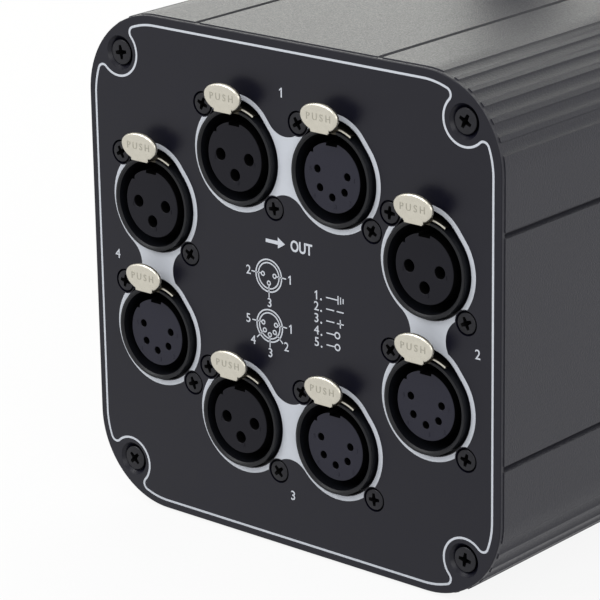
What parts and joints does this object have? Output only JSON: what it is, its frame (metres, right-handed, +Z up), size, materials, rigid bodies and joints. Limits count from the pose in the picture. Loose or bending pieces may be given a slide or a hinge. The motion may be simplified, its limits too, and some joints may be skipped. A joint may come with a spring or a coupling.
{
  "type": "stage lighting signal splitter",
  "caption": "Signal splitter in a fluted extruded housing, with groups of 3-pin and 5-pin round sockets, push-to-release latches and a truss bracket.",
  "frame": {"origin": "middle of the flat underside of the housing", "axes": "+Z up, the output panel faces -Y, +X to the right when the output panel is looked at"},
  "size_m": [0.114, 0.2334, 0.15],
  "materials": {
    "housing": "anodised, fine satin",
    "panel": "satin powder coat with white print",
    "screw": "black zinc",
    "shell": "black chrome on die-cast zinc",
    "insert": "moulded, matt",
    "latch": "grained nickel",
    "pins": "silvered contacts in a dark moulded base",
    "inlet": "moulded, blue",
    "outlet": "moulded, grey",
    "core": "moulded, black",
    "cap": "moulded, black",
    "light": "clear moulded light pipe",
    "board": "green laminate",
    "iron": "varnished core sheets",
    "steel": "black powder coat"
  },
  "bodies": {
    "splitter": {"housing": "housing", "front_panel": "panel", "rear_panel": "panel", "front_screw_1": "screw", "front_screw_2": "screw", "front_screw_3": "screw", "front_screw_4": "screw", "rear_screw_1": "screw", "rear_screw_2": "screw", "rear_screw_3": "screw", "rear_screw_4": "screw", "out1_3pin_shell": "shell", "out1_3pin_insert": "insert", "out1_5pin_shell": "shell", "out1_5pin_insert": "insert", "out2_3pin_shell": "shell", "out2_3pin_insert": "insert", "out2_5pin_shell": "shell", "out2_5pin_insert": "insert", "out3_3pin_shell": "shell", "out3_3pin_insert": "insert", "out3_5pin_shell": "shell", "out3_5pin_insert": "insert", "out4_3pin_shell": "shell", "out4_3pin_insert": "insert", "out4_5pin_shell": "shell", "out4_5pin_insert": "insert", "in_3pin_shell": "shell", "in_3pin_pins": "pins", "in_5pin_shell": "shell", "in_5pin_pins": "pins", "thru_3pin_shell": "shell", "thru_3pin_insert": "insert", "thru_5pin_shell": "shell", "thru_5pin_insert": "insert", "power_in_shell": "inlet", "power_in_core": "core", "power_out_shell": "outlet", "power_out_core": "core", "fuse_holder": "core", "light_pipe": "light", "output_board": "board", "main_board": "board", "power_board": "board", "transformer": "iron", "truss_bracket": "steel", "bracket_bolt_1": "screw", "bracket_bolt_2": "screw"},
    "latch_out1_3pin": {"out1_3pin_latch": "latch"},
    "latch_out1_5pin": {"out1_5pin_latch": "latch"},
    "latch_out2_3pin": {"out2_3pin_latch": "latch"},
    "latch_out2_5pin": {"out2_5pin_latch": "latch"},
    "latch_out3_3pin": {"out3_3pin_latch": "latch"},
    "latch_out3_5pin": {"out3_5pin_latch": "latch"},
    "latch_out4_3pin": {"out4_3pin_latch": "latch"},
    "latch_out4_5pin": {"out4_5pin_latch": "latch"},
    "latch_thru_3pin": {"thru_3pin_latch": "latch"},
    "latch_thru_5pin": {"thru_5pin_latch": "latch"},
    "cap": {"fuse_cap": "cap"}
  },
  "joints": [
    {"name": "press_out1_3pin", "type": "hinge", "parent": "splitter", "child": "latch_out1_3pin", "pos_m": [-0.01335, -0.107, 0.09821], "axis": [-1, 0, 0], "range_deg": [0, 8], "stiffness_Nm_per_rad": 0.12},
    {"name": "press_out1_5pin", "type": "hinge", "parent": "splitter", "child": "latch_out1_5pin", "pos_m": [0.01335, -0.107, 0.09821], "axis": [-1, 0, 0], "range_deg": [0, 8], "stiffness_Nm_per_rad": 0.12},
    {"name": "press_out2_3pin", "type": "hinge", "parent": "splitter", "child": "latch_out2_3pin", "pos_m": [0.03795, -0.107, 0.08333], "axis": [-1, 0, 0], "range_deg": [0, 8], "stiffness_Nm_per_rad": 0.12},
    {"name": "press_out2_5pin", "type": "hinge", "parent": "splitter", "child": "latch_out2_5pin", "pos_m": [0.03795, -0.107, 0.05357], "axis": [-1, 0, 0], "range_deg": [0, 8], "stiffness_Nm_per_rad": 0.12},
    {"name": "press_out3_3pin", "type": "hinge", "parent": "splitter", "child": "latch_out3_3pin", "pos_m": [-0.01335, -0.107, 0.03869], "axis": [-1, 0, 0], "range_deg": [0, 8], "stiffness_Nm_per_rad": 0.12},
    {"name": "press_out3_5pin", "type": "hinge", "parent": "splitter", "child": "latch_out3_5pin", "pos_m": [0.01335, -0.107, 0.03869], "axis": [-1, 0, 0], "range_deg": [0, 8], "stiffness_Nm_per_rad": 0.12},
    {"name": "press_out4_3pin", "type": "hinge", "parent": "splitter", "child": "latch_out4_3pin", "pos_m": [-0.03795, -0.107, 0.08333], "axis": [-1, 0, 0], "range_deg": [0, 8], "stiffness_Nm_per_rad": 0.12},
    {"name": "press_out4_5pin", "type": "hinge", "parent": "splitter", "child": "latch_out4_5pin", "pos_m": [-0.03795, -0.107, 0.05357], "axis": [-1, 0, 0], "range_deg": [0, 8], "stiffness_Nm_per_rad": 0.12},
    {"name": "press_thru_3pin", "type": "hinge", "parent": "splitter", "child": "latch_thru_3pin", "pos_m": [-0.01335, 0.107, 0.09045], "axis": [1, 0, 0], "range_deg": [0, 8], "stiffness_Nm_per_rad": 0.12},
    {"name": "press_thru_5pin", "type": "hinge", "parent": "splitter", "child": "latch_thru_5pin", "pos_m": [-0.04005, 0.107, 0.09045], "axis": [1, 0, 0], "range_deg": [0, 8], "stiffness_Nm_per_rad": 0.12},
    {"name": "turn_fuse_cap", "type": "hinge", "parent": "splitter", "child": "cap", "pos_m": [0, 0.112, 0.032], "axis": [0, -1, 0], "range_deg": [0, 60]}
  ]
}
